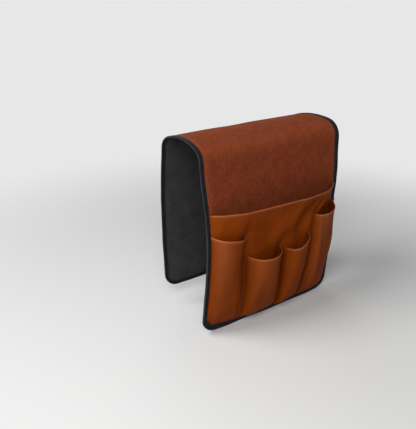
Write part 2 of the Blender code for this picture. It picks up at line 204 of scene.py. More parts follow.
def addNode(tree, kind, values=None, **settings):
    item = tree.nodes.new(kind)
    for key, value in settings.items():
        setattr(item, key, value)
    for key, value in (values or {}).items():
        if isinstance(value, bpy.types.NodeSocket):
            tree.links.new(value, item.inputs[key])
        else:
            item.inputs[key].default_value = value
    return item


def made(tree, kind, values=None, **settings):  # a new node's first output
    return addNode(tree, kind, values, **settings).outputs[0]


def calc(tree, operation, *values, clamp=False):
    return made(tree, "ShaderNodeMath", dict(enumerate(values)), operation=operation, use_clamp=clamp)


def newGroup(name, kind, inputs, outputs):
    # an input given as a number starts at it, and a socket given as a word is of that kind
    tree = bpy.data.node_groups.new(name, kind)
    for way, sockets in (("INPUT", inputs), ("OUTPUT", outputs)):
        for label, value in sockets.items():
            word = {int: "Int", float: "Float", str: value}[type(value)]
            socket = tree.interface.new_socket(label, in_out=way, socket_type="NodeSocket" + str(word))
            if not isinstance(value, str):
                socket.default_value = value
    return tree, tree.nodes.new("NodeGroupInput").outputs, tree.nodes.new("NodeGroupOutput").inputs


drapeInputs = {"Geometry": "Geometry", "Side": 1.0, "Lean": 0.1, "Hanging Length": 0.3}
pieceInputs = {**drapeInputs, "Material": "Material"}
pieceOutput = {"Geometry": "Geometry"}


def drapeOverArm():
    # wraps flat pieces over the crown, round the bend and down the gently bowed hanging part
    tree, given, result = newGroup("drapeOverArm", "GeometryNodeTree", {
        **drapeInputs, "Crown Radius": sheet["crownRadius"], "Crown Angle": crownAngle,
        "Crown Sink": crownSink, "Bend Radius": sheet["bendRadius"]}, pieceOutput)
    flat = made(tree, "GeometryNodeInputPosition")
    across, down, out = addNode(tree, "ShaderNodeSeparateXYZ", {0: flat}).outputs
    crown, bend, lean = given["Crown Radius"], given["Bend Radius"], given["Lean"]
    crownLength = calc(tree, "MULTIPLY", crown, given["Crown Angle"])
    bendAngle = calc(tree, "SUBTRACT", calc(tree, "SUBTRACT", math.pi / 2, lean), given["Crown Angle"])
    split = calc(tree, "MULTIPLY_ADD", bend, bendAngle, crownLength)
    bow = calc(tree, "DIVIDE", given["Hanging Length"], calc(tree, "MULTIPLY", lean, 2.0))
    onCrown = calc(tree, "DIVIDE", calc(tree, "MINIMUM", down, crownLength), crown)
    pastCrown = calc(tree, "MAXIMUM", calc(tree, "SUBTRACT", down, crownLength), 0.0)
    onBend = calc(tree, "MINIMUM", calc(tree, "DIVIDE", pastCrown, bend), bendAngle)
    onDrop = calc(tree, "DIVIDE", calc(tree, "MAXIMUM", calc(tree, "SUBTRACT", down, split), 0.0), bow)
    angles = [onCrown, calc(tree, "ADD", onCrown, onBend)]
    angles.append(calc(tree, "ADD", angles[1], onDrop))
    arms = [calc(tree, "SUBTRACT", crown, bend), calc(tree, "SUBTRACT", bend, bow),
            calc(tree, "ADD", bow, out)]
    totals = []
    for wave, start in (("SINE", 0.0), ("COSINE", calc(tree, "MULTIPLY", given["Crown Sink"], -1.0))):
        total = start
        for angle, reach in zip(angles, arms):
            total = calc(tree, "MULTIPLY_ADD", calc(tree, wave, angle), reach, total)
        totals.append(total)
    draped = made(tree, "ShaderNodeCombineXYZ",
                  {"X": across, "Y": calc(tree, "MULTIPLY", totals[0], given["Side"]), "Z": totals[1]})
    moved = made(tree, "GeometryNodeSetPosition", {"Geometry": given["Geometry"], "Position": draped})
    outer = calc(tree, "LESS_THAN", given["Side"], 0.0)
    turned = made(tree, "GeometryNodeFlipFaces", {"Mesh": moved, "Selection": outer})
    tree.links.new(turned, result["Geometry"])
    return tree


drape = drapeOverArm()


def drapedWithin(tree, given):
    return made(tree, "GeometryNodeGroup", {label: given[label] for label in drapeInputs}, node_tree=drape)


def scattered(tree, given, points, shape, facing, size, least, most):
    # a copy of the shape on every point, turned along a vector and a little uneven in size
    vary = addNode(tree, "FunctionNodeRandomValue", {"Min": least, "Max": most, "Seed": given["Seed"]},
                   data_type="FLOAT")
    random = next(socket for socket in vary.outputs if socket.enabled)
    return made(tree, "GeometryNodeInstanceOnPoints", {
        "Points": points, "Instance": shape,
        "Rotation": made(tree, "FunctionNodeAlignRotationToVector", {"Vector": facing}, axis="Z"),
        "Scale": made(tree, "ShaderNodeVectorMath", {0: size, "Scale": random}, operation="SCALE"),
    })


def finishTree(tree, given, result, geometry):
    real = made(tree, "GeometryNodeRealizeInstances", {0: geometry})
    painted = made(tree, "GeometryNodeSetMaterial", {"Geometry": real, "Material": given["Material"]})
    tree.links.new(painted, result["Geometry"])
    return tree


def drapedPieceTree():
    tree, given, result = newGroup("drapedPiece", "GeometryNodeTree", pieceInputs, pieceOutput)
    return finishTree(tree, given, result, drapedWithin(tree, given))


def stitchTree():
    # one thread stitch after another along each flat guide line
    tree, given, result = newGroup("stitchRow", "GeometryNodeTree", {
        **pieceInputs, "Pitch": 0.0032, "Stitch Length": 0.0026, "Thread Radius": 0.0003,
        "Unevenness": 0.12, "Seed": 7}, pieceOutput)
    line = made(tree, "GeometryNodeMeshToCurve", {"Mesh": drapedWithin(tree, given)})
    points = addNode(tree, "GeometryNodeCurveToPoints", {"Curve": line, "Length": given["Pitch"]},
                     mode="LENGTH").outputs
    stitch = made(tree, "GeometryNodeMeshUVSphere", {"Segments": 6, "Rings": 5, "Radius": 1.0})
    size = made(tree, "ShaderNodeCombineXYZ", {"X": given["Thread Radius"], "Y": given["Thread Radius"],
                                               "Z": calc(tree, "MULTIPLY", given["Stitch Length"], 0.5)})
    least = calc(tree, "SUBTRACT", 1.0, given["Unevenness"])
    most = calc(tree, "ADD", 1.0, given["Unevenness"])
    rows = scattered(tree, given, points["Points"], stitch, points["Tangent"], size, least, most)
    return finishTree(tree, given, result, rows)


def gripDotTree():
    # a low rubber dome at each point of a flat lattice, standing out from the lining's underside
    tree, given, result = newGroup("gripDots", "GeometryNodeTree", {
        **pieceInputs, "Dot Radius": 0.0012, "Dot Height": 0.0004, "Least": 0.92, "Most": 1.05,
        "Seed": 3}, pieceOutput)
    dome = made(tree, "GeometryNodeMeshUVSphere", {"Segments": 7, "Rings": 4, "Radius": 1.0})
    size = made(tree, "ShaderNodeCombineXYZ",
                {"X": given["Dot Radius"], "Y": given["Dot Radius"], "Z": given["Dot Height"]})
    dots = scattered(tree, given, drapedWithin(tree, given), dome, made(tree, "GeometryNodeInputNormal"),
                     size, given["Least"], given["Most"])
    return finishTree(tree, given, result, dots)


def settle(item, tree, half, material, values=None):
    # runs a tree on a flat piece, keeps the result as a plain mesh and removes the modifier
    wanted = {"Side": half["side"], "Lean": half["lean"], "Hanging Length": half["length"],
              "Material": material, **(values or {})}
    modifier = item.modifiers.new(tree.name, "NODES")
    modifier.node_group = tree
    for socket in tree.interface.items_tree:
        if socket.item_type == "SOCKET" and socket.in_out == "INPUT" and socket.name in wanted:
            modifier[socket.identifier] = wanted[socket.name]
    graph = bpy.context.evaluated_depsgraph_get()
    mesh = bpy.data.meshes.new_from_object(item.evaluated_get(graph), preserve_all_data_layers=True,
                                           depsgraph=graph)
    item.modifiers.clear()
    item.data = mesh
    mesh.shade_smooth()
    mesh.set_sharp_from_angle(angle=math.radians(42))
    return item


# Shader node groups, each used by several materials
def mottleGroup():
    # broad patches and a finer speckle, both about 0.5 on average
    tree, given, result = newGroup(
        "mottle", "ShaderNodeTree", {"Vector": "Vector", "Patch Scale": 30.0, "Speckle Scale": 400.0},
        {"Patches": "Float", "Speckle": "Float"})
    patches = {"Scale": given["Patch Scale"], "Detail": 4.0, "Roughness": 0.55, "Distortion": 0.4}
    speckle = {"Scale": given["Speckle Scale"], "Detail": 3.0, "Roughness": 0.6}
    for label, values in (("Patches", patches), ("Speckle", speckle)):
        noise = made(tree, "ShaderNodeTexNoise", {"Vector": given["Vector"], **values})
        spread = made(tree, "ShaderNodeMapRange", {"Value": noise, "From Min": 0.30, "From Max": 0.70})
        tree.links.new(spread, result[label])
    return tree


def hideGroup():
    # pebbled leather grain with a few fine wrinkles
    tree, given, result = newGroup("hideGrain", "ShaderNodeTree", {
        "Vector": "Vector", "Pebble Scale": 900.0, "Wrinkle Scale": 120.0, "Wrinkle Share": 0.4,
        "Pebble Bend": 0.004, "Pore Width": 0.22}, {"Height": "Float", "Pores": "Float"})
    wrinkles = {"Vector": given["Vector"], "Scale": given["Wrinkle Scale"]}
    bent = addNode(tree, "ShaderNodeTexNoise", {**wrinkles, "Detail": 2.0}).outputs["Color"]
    shift = made(tree, "ShaderNodeVectorMath", {0: bent, "Scale": given["Pebble Bend"]}, operation="SCALE")
    place = made(tree, "ShaderNodeVectorMath", {0: given["Vector"], 1: shift}, operation="ADD")
    pebbles = made(tree, "ShaderNodeTexVoronoi", {"Vector": place, "Scale": given["Pebble Scale"]},
                   feature="DISTANCE_TO_EDGE")
    rounded = made(tree, "ShaderNodeMapRange", {"Value": pebbles, "From Max": given["Pore Width"]},
                   interpolation_type="SMOOTHSTEP")
    folds = made(tree, "ShaderNodeTexNoise", {**wrinkles, "Detail": 5.0, "Roughness": 0.7})
    tree.links.new(calc(tree, "MULTIPLY_ADD", folds, given["Wrinkle Share"], rounded), result["Height"])
    tree.links.new(calc(tree, "SUBTRACT", 1.0, rounded), result["Pores"])
    return tree


def weaveGroup():
    # over-and-under threads, from a place on the cloth in metres
    tree, given, result = newGroup(
        "plainWeave", "ShaderNodeTree", {"Vector": "Vector", "Across Pitch": 0.0006, "Along Pitch": 0.0006},
        {"Height": "Float", "Gaps": "Float"})
    parts = addNode(tree, "ShaderNodeSeparateXYZ", {0: given["Vector"]}).outputs
    waves = []
    for part, pitch in ((parts[0], "Across Pitch"), (parts[1], "Along Pitch")):
        turns = calc(tree, "DIVIDE", part, given[pitch])
        waves.append(calc(tree, "SINE", calc(tree, "MULTIPLY", turns, math.pi)))
    over = calc(tree, "MULTIPLY", *waves)
    tree.links.new(calc(tree, "MULTIPLY_ADD", over, 0.5, 0.5), result["Height"])
    low = calc(tree, "ABSOLUTE", over)
    tree.links.new(calc(tree, "SUBTRACT", 1.0, low), result["Gaps"])
    return tree


def rubbedGroup():
    # an attribute's mask, broken up by noise, for edges that use has rubbed and for the leather's painted
    # sheen and painted highlight
    tree, given, result = newGroup(
        "rubbedEdgeAndSheen", "ShaderNodeTree",
        {"Vector": "Vector", "Mask": 0.0, "Noise Scale": 180.0, "Breakup": 0.5}, {"Value": "Float"})
    noise = made(tree, "ShaderNodeTexNoise", {"Vector": given["Vector"], "Scale": given["Noise Scale"],
                                              "Detail": 4.0})
    left = calc(tree, "SUBTRACT", 1.2, calc(tree, "MULTIPLY", noise, given["Breakup"]))
    tree.links.new(calc(tree, "MULTIPLY", given["Mask"], left, clamp=True), result["Value"])
    return tree


mottle, hideGrain, plainWeave, rubbedEdgeAndSheen = mottleGroup(), hideGroup(), weaveGroup(), rubbedGroup()


def newMaterial(name, **constants):
    material = bpy.data.materials.new(name)
    material.use_nodes = True
    shader = material.node_tree.nodes["Principled BSDF"]
    for label, value in constants.items():
        shader.inputs[label.replace("_", " ")].default_value = value
    return material, material.node_tree, shader


def placeGroup(tree, group, place, **values):
    named = {label.replace("_", " "): value for label, value in values.items()}
    return addNode(tree, "ShaderNodeGroup", {"Vector": place, **named}, node_tree=group).outputs


def mixColour(tree, share, first, second):
    values = {0: share, 6: first, 7: second}
    return addNode(tree, "ShaderNodeMix", values, data_type="RGBA").outputs[2]


def spreadOver(tree, value, ends):
    return made(tree, "ShaderNodeMapRange", {"Value": value, "To Min": ends[0], "To Max": ends[1]})


def startLook(name, look, onCloth=True, **constants):
    # a material with the places on its cloth, or else in its piece, and its own mottle
    material, tree, shader = newMaterial(name, **constants)
    if onCloth:
        place = made(tree, "ShaderNodeUVMap", uv_map="cloth")
    else:
        place = addNode(tree, "ShaderNodeTexCoord").outputs["Object"]
    spots = placeGroup(tree, mottle, place, Patch_Scale=look["patches"], Speckle_Scale=look["speckle"])
    return material, tree, place, spots


def attributeValue(tree, name):
    return addNode(tree, "ShaderNodeAttribute", attribute_name=name).outputs["Fac"]


def rubbedShare(tree, place, **values):
    return placeGroup(tree, rubbedEdgeAndSheen, place, Mask=attributeValue(tree, "rubAndSheen"), **values)["Value"]


def finishLook(material, look, colour, rough, *heights):
    # each height has a bump in the look: its depth in metres and its strength
    tree, shader = material.node_tree, material.node_tree.nodes["Principled BSDF"]
    tree.links.new(colour, shader.inputs["Base Color"])
    tree.links.new(rough, shader.inputs["Roughness"])
    under = {}
    for height, (depth, strength) in zip(heights, look["bumps"]):
        values = {"Height": height, "Distance": depth, "Strength": strength, **under}
        under = {"Normal": made(tree, "ShaderNodeBump", values)}
    tree.links.new(under["Normal"], shader.inputs["Normal"])
    return material


suedeLook = {
    "deep": (0.092, 0.0182, 0.0062, 1), "worn": (0.182, 0.0370, 0.0125, 1),
    "rubbedAndSheen": (0.205, 0.048, 0.018, 1),
    "patches": 55.0, "speckle": 320.0, "napPatches": 170.0, "napSpeckle": 2400.0, "brush": (1.0, 0.65, 1.0),
    "patchShare": 0.50, "napShare": 0.40, "speckleShare": 0.55, "drop": 0.225, "rubShare": 0.5,
    "rough": (0.86, 0.97), "bumps": ((0.0006, 0.35), (0.0003, 0.5)),
}


def suedeMaterial(look):
    material, tree, place, spots = startLook(
        "fauxSuede", look, Sheen_Weight=0.08, Sheen_Roughness=0.50, Sheen_Tint=(0.85, 0.30, 0.15, 1),
        Specular_IOR_Level=0.05)
    brushed = made(tree, "ShaderNodeMapping", {"Vector": place, "Scale": look["brush"]})
    nap = placeGroup(tree, mottle, brushed, Patch_Scale=look["napPatches"],
                     Speckle_Scale=look["napSpeckle"])
    share = calc(tree, "MULTIPLY", nap["Patches"], look["napShare"])
    share = calc(tree, "MULTIPLY_ADD", spots["Patches"], look["patchShare"], share)
    share = calc(tree, "MULTIPLY_ADD", spots["Speckle"], look["speckleShare"],
                 calc(tree, "SUBTRACT", share, look["drop"]), clamp=True)
    colour = mixColour(tree, share, look["deep"], look["worn"])
    rubbedAndSheen = calc(tree, "MULTIPLY", rubbedShare(tree, place), look["rubShare"])
    colour = mixColour(tree, rubbedAndSheen, colour, look["rubbedAndSheen"])
    rough = spreadOver(tree, nap["Patches"], look["rough"])
    return finishLook(material, look, colour, rough, spots["Speckle"], nap["Speckle"])


leatherLook = {
    "deep": (0.118, 0.0205, 0.0010, 1), "light": (0.186, 0.0330, 0.0020, 1),
    # rubbed: lighter where use rubs, and on the leather also a painted sheen and painted highlight
    "rubbedAndSheen": (0.320, 0.100, 0.036, 1), "poreAndShadeDark": (0.048, 0.0085, 0.0010, 1),
    "patches": 22.0, "speckle": 260.0, "patchShare": 0.6, "speckleShare": 0.15,
    "pebble": 950.0, "wrinkle": 130.0, "poreShare": 0.25, "poreRough": 0.12, "rubNoise": 240.0,
    "rough": (0.46, 0.54), "bumps": ((0.0004, 0.20), (0.00012, 0.45)),
}


def leatherMaterial(name, tone, look):
    material, tree, place, spots = startLook(name, look, Specular_IOR_Level=0.025)
    share = calc(tree, "MULTIPLY", spots["Speckle"], look["speckleShare"])
    share = calc(tree, "MULTIPLY_ADD", spots["Patches"], look["patchShare"], share)
    colour = mixColour(tree, calc(tree, "ADD", share, tone), look["deep"], look["light"])
    hide = placeGroup(tree, hideGrain, place, Pebble_Scale=look["pebble"], Wrinkle_Scale=look["wrinkle"])
    pores = calc(tree, "MULTIPLY", hide["Pores"], look["poreShare"])
    colour = mixColour(tree, pores, colour, look["poreAndShadeDark"])
    # painted shade: creases and the valleys beside sewn seams are darkened towards the same dark colour
    # that darkens the pores above
    colour = mixColour(tree, attributeValue(tree, "poreAndShadeDark"), colour, look["poreAndShadeDark"])
    # the rolled mouth is lighter, partly rubbed and partly a painted highlight, and the bellies carry a
    # painted sheen on their lit side
    colour = mixColour(tree, rubbedShare(tree, place, Noise_Scale=look["rubNoise"]), colour, look["rubbedAndSheen"])
    rough = spreadOver(tree, spots["Patches"], look["rough"])
    rough = calc(tree, "MULTIPLY_ADD", hide["Pores"], look["poreRough"], rough)
    return finishLook(material, look, colour, rough, spots["Speckle"], hide["Height"])


tapeLook = {
    "dark": (0.0045, 0.0055, 0.0075, 1), "light": (0.0090, 0.0105, 0.0135, 1),
    "gaps": (0.004, 0.005, 0.007, 1), "gapShare": 0.5,
    "rubbedAndSheen": (0.050, 0.060, 0.075, 1), "rubShare": 0.5, "breakup": 0.9,
    "across": 0.0011, "along": 0.00065, "patches": 60.0, "speckle": 900.0,
    "rough": (0.62, 0.82), "bumps": ((0.00025, 0.6), (0.0002, 0.3)),
}


def tapeMaterial(look):
    material, tree, place, spots = startLook("wovenTape", look, Specular_IOR_Level=0.08)
    ribs = placeGroup(tree, plainWeave, place, Across_Pitch=look["across"], Along_Pitch=look["along"])
    colour = mixColour(tree, spots["Patches"], look["dark"], look["light"])
    colour = mixColour(tree, calc(tree, "MULTIPLY", ribs["Gaps"], look["gapShare"]), colour, look["gaps"])
    rubbedAndSheen = calc(tree, "MULTIPLY", rubbedShare(tree, place, Breakup=look["breakup"]), look["rubShare"])
    colour = mixColour(tree, rubbedAndSheen, colour, look["rubbedAndSheen"])
    rough = spreadOver(tree, spots["Speckle"], look["rough"])
    return finishLook(material, look, colour, rough, ribs["Height"], spots["Speckle"])


clothLook = {"patches": 40.0, "speckle": 800.0, "gapShare": 0.4, "rough": (0.80, 0.95),
             "bumps": ((0.0002, 0.5),)}
threadLook = {"patches": 300.0, "speckle": 3000.0, "bumps": ((0.0001, 0.5),)}


def clothMaterial(name, dark, light, pitch, look=clothLook):
    material, tree, place, spots = startLook(name, look, Specular_IOR_Level=0.2)
    threads = placeGroup(tree, plainWeave, place, Across_Pitch=pitch, Along_Pitch=pitch)
    colour = mixColour(tree, spots["Patches"], dark, light)
    colour = mixColour(tree, calc(tree, "MULTIPLY", threads["Gaps"], look["gapShare"]), colour, dark)
    rough = spreadOver(tree, spots["Speckle"], look["rough"])
    return finishLook(material, look, colour, rough, threads["Height"])


def threadMaterial(name, dark, light, rough, look=threadLook):
    material, tree, place, spots = startLook(name, look, onCloth=False, Specular_IOR_Level=0.35)
    colour = mixColour(tree, spots["Speckle"], dark, light)
    rough = spreadOver(tree, spots["Patches"], (rough, rough + 0.1))
    return finishLook(material, look, colour, rough, spots["Speckle"])


suede = suedeMaterial(suedeLook)
# painted light: the magazine panel is the pockets' leather painted lighter, tone 0.50 against 0.16,
# standing in for light on its face, which turns down from the lamps
panelLeatherPaintedLighter = leatherMaterial("panelLeatherPaintedLighter", 0.50, leatherLook)
pocketLeather = leatherMaterial("pocketLeather", 0.16, leatherLook)
woven = tapeMaterial(tapeLook)
foamCloth = clothMaterial("foamSheet", (0.26, 0.25, 0.23, 1), (0.34, 0.33, 0.31, 1), 0.0020)
liningCloth = clothMaterial("liningCloth", (0.018, 0.018, 0.019, 1), (0.034, 0.033, 0.033, 1), 0.0007)
brownThread = threadMaterial("brownThread", (0.130, 0.034, 0.010, 1), (0.230, 0.075, 0.028, 1), 0.55)
darkThread = threadMaterial("darkThread", (0.010, 0.013, 0.018, 1), (0.026, 0.032, 0.042, 1), 0.60)
gripRubber = threadMaterial("gripRubber", (0.020, 0.020, 0.021, 1), (0.036, 0.036, 0.037, 1), 0.45)
pieceTree, rowTree, dotTree = drapedPieceTree(), stitchTree(), gripDotTree()
print("materials and node trees made")


def linked(name, mesh):
    item = bpy.data.objects.new(name, mesh)
    bpy.context.scene.collection.objects.link(item)
    return item


def meshObject(name, points, faces, places=None, marks=None):
    # points and marks are per vertex; places are where each vertex lies on its flat cloth
    mesh = bpy.data.meshes.new(name)
    mesh.from_pydata(points.reshape(-1, 3).tolist(), [], faces)
    if places is not None:
        shape = bmesh.new()
        shape.from_mesh(mesh)
        bmesh.ops.recalc_face_normals(shape, faces=shape.faces)
        shape.to_mesh(mesh)
        shape.free()
        corners = np.empty(len(mesh.loops), dtype=np.int32)
        mesh.loops.foreach_get("vertex_index", corners)
        uvs = places.reshape(-1, 2)[corners].ravel()
        mesh.uv_layers.new(name="cloth").data.foreach_set("uv", uvs)
    for label, values in (marks or {}).items():
        numbers = values.ravel().astype(np.float32)
        mesh.attributes.new(label, "FLOAT", "POINT").data.foreach_set("value", numbers)
    return linked(name, mesh)


def slabFaces(columns, rows):
    # the faces of a closed slab between two grids of points, the under grid first
    under = np.arange(columns * rows).reshape(columns, rows)
    over = under + columns * rows
    faces = []
    for grid in (under, over):
        quads = np.stack([grid[:-1, :-1], grid[1:, :-1], grid[1:, 1:], grid[:-1, 1:]], axis=-1)
        faces += quads.reshape(-1, 4).tolist()
    for low, high in ((under[:, 0], over[:, 0]), (under[:, -1], over[:, -1]),
                      (under[0], over[0]), (under[-1], over[-1])):
        faces += np.stack([low[:-1], low[1:], high[1:], high[:-1]], axis=-1).tolist()
    return faces


coverSizes = {
    "inset": 0.0012,  # every layer ends this far inside the tape's fold
    "spacing": 0.0040, "foamSpacing": 0.0060,
    "cornerColumns": 12, "bottomRows": 14, "bottomReach": 0.045,  # finer rows reach this far up
    "lipLine": 0.0092,  # the padding starts to swell just inside the tape's lip
    "puff": 0.0010, "puffReach": 0.008, "pocketFade": 0.040,
    "pinchRamp": 0.0060,
    "rubReach": 0.004, "bendPlace": 0.010, "bendReach": 0.016, "bendLighter": 0.6,
}


def sheetPlaces(half, inset, spacing):
    # places across a layer, and distances down it that end at its rounded bottom edge
    corner = sheet["width"] / 2 - sheet["cornerRadius"]
    radius = sheet["cornerRadius"] - tapeWall - inset
    turn = np.linspace(0, math.pi / 2, coverSizes["cornerColumns"] + 1)[1:]
    side = corner + radius * np.sin(turn)
    middle = np.linspace(-corner, corner, round(2 * corner / spacing) + 1)
    across = np.concatenate([-side[::-1], middle, side])
    length = fullLength(half)
    upper = length - coverSizes["bottomReach"]
    straight = np.linspace(0, upper, round(upper / spacing) + 1)
    ends = length - edgeHeight(across, tapeWall + inset)
    rest = np.linspace(0, 1, coverSizes["bottomRows"] + 1)[1:]
    rest = straight[-1] + (ends[:, None] - straight[-1]) * rest
    straight = np.broadcast_to(straight, (len(across), len(straight)))
    return across[:, None], np.concatenate([straight, rest], axis=1)


def pastLip(half, x, down):  # how far a place lies in from the tape's lip
    return np.maximum(inwards(half, x, down) - coverSizes["lipLine"], 0.0)


def padPuff(half, x, down):
    # the padding swells the cover beside the binding, and lies flat again under the magazine pocket
    abovePocket = fullLength(half) - down - magazine["mouth"]
    free = smoothStep(abovePocket / coverSizes["pocketFade"]) if half is outerFlap else 1.0
    return coverSizes["puff"] * (1 - np.exp(-pastLip(half, x, down) / coverSizes["puffReach"])) * free


def rimRise(half, x, down):  # the lining is pressed outwards under the tape, so that both lie flush
    ramp = coverSizes["pinchRamp"]
    return tapeWall * np.clip((coverSizes["lipLine"] + ramp - inwards(half, x, down)) / ramp, 0.0, 1.0)


# lighter near the tape, where use rubs the suede, and lighter along the bend below the crown
def rubbedCover(half, x, down):
    near = np.exp(-pastLip(half, x, down) / coverSizes["rubReach"])
    bend = hump(down, halfCrown + coverSizes["bendPlace"], coverSizes["bendReach"]) * coverSizes["bendLighter"]
    return np.stack([np.broadcast_to(np.maximum(near, bend), down.shape)] * 2)


def sheetLayer(half, name, word, material, spacing, offsets, rubAndSheen=None):
    # one layer of the draped sheet, between the offsets of its underside and its top
    x, down = sheetPlaces(half, coverSizes["inset"], spacing)
    grids = np.stack([rippled(half, x, down, offset) for offset in offsets(half, x, down)])
    flat = np.stack(np.broadcast_arrays(x, down), axis=-1)
    marks = {"rubAndSheen": rubAndSheen(half, x, down)} if rubAndSheen else None
    item = meshObject(name + half["name"], grids, slabFaces(*down.shape), np.stack([flat] * 2), marks)
    settle(item, pieceTree, half, material)
    return dressHalf(item, ("saddle_" + word, half["part"] + "_" + word))


def liningOffsets(half, x, down):
    rise = rimRise(half, x, down)
    return rise, layer["lining"] + rise


def foamOffsets(half, x, down):
    return layer["lining"] + layer["gap"] + rimRise(half, x, down), coverBase - layer["gap"]


def coverOffsets(half, x, down):
    return coverBase, coverTop + padPuff(half, x, down)


def dressHalf(item, nodes=()):
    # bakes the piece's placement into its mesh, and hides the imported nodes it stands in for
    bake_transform(item)
    if nodes:
        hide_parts(*nodes)
    return item


for half in (outerFlap, innerTail):
    foam = sheetLayer(half, "foamLayer", "interlining", foamCloth,
                      coverSizes["foamSpacing"], foamOffsets)
    lining = sheetLayer(half, "gripLining", "lining", liningCloth,
                        coverSizes["spacing"], liningOffsets)
    cover = sheetLayer(half, "suedeCover", "cover", suede,
                       coverSizes["spacing"], coverOffsets, rubbedCover)
print("cover, foam and lining draped")


# The binding: one tape folded round each half's edge
def stackTopAt(half, x, height):  # the top of what the tape's front lip lies on
    if half is innerTail:
        return np.full(np.broadcast(x, height).shape, coverTop)
    leftMouth = frontPockets["leftTallPocket"]["mouth"][0]
    rightMouth = frontPockets["rightTallPocket"]["mouth"][1]
    onPocket = 1 - smoothStep((height - np.where(x < 0, leftMouth, rightMouth)) / tape["ramp"])
    onPanel = 1 - smoothStep((height - magazine["mouth"]) / tape["ramp"])
    return coverTop + (panelTop - coverTop) * onPanel + (stackTop - panelTop) * onPocket


def tapeRoute(half):
    # from the crown's middle down the left edge, round the bottom and up the right edge
    low = sheet["cornerRadius"]
    corner = sheet["width"] / 2 - low
    radius = low - tapeWall
    top = fullLength(half)
    upright = np.linspace(top, low, round((top - low) / tape["spacing"]) + 1)
    turn = np.linspace(0, math.pi / 2, tape["cornerPoints"] + 2)[1:-1]
    sine, cosine = np.sin(turn), np.cos(turn)
    bottom = np.linspace(-corner, corner, round(2 * corner / tape["spacing"]) + 1)
    side, level = np.ones(upright.shape), np.zeros(upright.shape)
    flat, under = np.zeros(bottom.shape), np.ones(bottom.shape)
    parts = [
        (side * -sheetEdge, upright, -side, level),
        (-corner - radius * cosine, low - radius * sine, -cosine, -sine),
        (bottom, under * tapeWall, flat, -under),
        (corner + radius * sine, low - radius * cosine, sine, -cosine),
        (side * sheetEdge, upright[::-1], side, level),
    ]
    return [np.concatenate(columns) for columns in zip(*parts)]


def tapeSection(back, front, lipWidth, puff):
    # the folded tape's outline as pairs: out past the sheet's cut edge, and out from the underside
    wall = tape["thickness"]
    fold = min(tape["foldRadius"], (front - back) / 2 + wall - tape["foldSpare"])
    inside, edge, lip = fold - wall, tapeWall - fold, -lipWidth
    share = np.linspace(0, 1, tape["foldPoints"])
    turn = share * math.pi / 2
    sine, cosine = np.sin(turn), np.cos(turn)
    lipDown, lipUp = tape["lipRound"]
    puffed = np.clip((share - tape["puffFrom"]) / (1 - tape["puffFrom"]), 0, 1)
    lipShape = puff * np.sin(math.pi * puffed) - tape["tuck"] * puff * (share < tape["tuckTo"])
    outwards, inward = (lip + (edge - lip) * share)[:-1], (edge + (lip - edge) * share)[1:]
    flat = np.zeros(inward.shape)
    parts = [
        (outwards, flat + back - wall),
        (edge + fold * sine, back - wall + fold - fold * cosine),
        (edge + fold * cosine, front + wall - fold + fold * sine),
        (inward, front + wall + lipShape[::-1][1:]),
        ([lip - wall * lipDown], [front + wall * lipUp]),
        (outwards, flat + front),
        (edge + inside * cosine[::-1], front - inside + inside * sine[::-1]),
        (edge + inside * sine[::-1], back + inside - inside * cosine[::-1]),
        (inward, flat + back),
    ]
    return [np.concatenate(columns) for columns in zip(*parts)]


def runLengths(u, v):  # how far along a line of points each one lies
    return np.concatenate([[0.0], np.cumsum(np.hypot(np.diff(u), np.diff(v)))])


def tapeHalf(half):
    x, height, outX, outHeight = tapeRoute(half)
    along = runLengths(x, height)
    top = stackTopAt(half, x, height)
    back = tapeWall - tape["gap"]
    lips = lipAt(half, x, height, top) + softWaves(along, 0.0, tape["lipWave"], 11) * tape["lipWander"]
    puffs = tape["puff"] * (1 + tape["puffUneven"] * softWaves(along, 0.0, tape["puffWave"], 12))
    bulge = (softWaves(along, 0.0, tape["edgeWave"], 13) + tape["edgeOut"]) * tape["edgeWander"]
    rings, places, rubAndSheen = [], [], []
    for number in range(len(x)):
        outs, offsets = tapeSection(back, top[number] + tape["gap"], lips[number], puffs[number])
        outs = outs + bulge[number] * np.clip(outs / tapeWall, 0, 1)
        down = fullLength(half) - (height[number] + outHeight[number] * outs)
        rings.append(rippled(half, x[number] + outX[number] * outs, down, offsets))
        lengths = runLengths(outs, offsets)
        places.append(np.stack([lengths, np.full(lengths.shape, along[number])], axis=-1))
        rubAndSheen.append(np.clip(outs / tapeWall - tape["rubFrom"], 0, 1))
    rings = np.stack(rings)
    item = meshObject("edgeTape" + half["name"], rings, loftFaces(*rings.shape[:2]), np.stack(places),
                      {"rubAndSheen": np.stack(rubAndSheen)})
    settle(item, pieceTree, half, woven)
    bindings = ("saddle_binding_left", "saddle_binding_right", half["part"] + "_binding")
    return dressHalf(item, bindings)


def loftFaces(count, size):
    # the faces of a solid through rings of points, closed at both ends
    index = np.arange(count * size).reshape(count, size)
    after = np.roll(index, -1, axis=1)
    quads = np.stack([index[:-1], after[:-1], after[1:], index[1:]], axis=-1).reshape(-1, 4)
    return quads.tolist() + [index[0][::-1].tolist(), index[-1].tolist()]


def polylines(name, lines):
    # flat guide lines for the stitches, as loose edges
    points, edges = [], []
    for line in lines:
        first = len(points)
        points += np.asarray(line).tolist()
        edges += [(number, number + 1) for number in range(first, len(points) - 1)]
    mesh = bpy.data.meshes.new(name)
    mesh.from_pydata(points, edges, [])
    return linked(name, mesh)


tapeThread = {"Pitch": 0.0034, "Stitch Length": 0.0030, "Thread Radius": 0.00026, "Seed": 21,
              "proud": 0.000052}


def tapeStitches(half):
    x, height, outX, outHeight = tapeRoute(half)
    top = stackTopAt(half, x, height)
    inset = lipAt(half, x, height, top) - tape["stitchIn"]
    places = x - outX * inset, fullLength(half) - (height - outHeight * inset)
    proud = tapeThread["proud"]
    lines = [rippled(half, *places, out) for out in (top + tapeWall + proud, -proud)]
    item = polylines("tapeStitches" + half["name"], lines)
    settle(item, rowTree, half, darkThread, tapeThread)
    return dressHalf(item)


dotSizes = {"Dot Radius": 0.0012, "Dot Height": 0.00035, "Seed": 4}
dotPitch = 0.0080


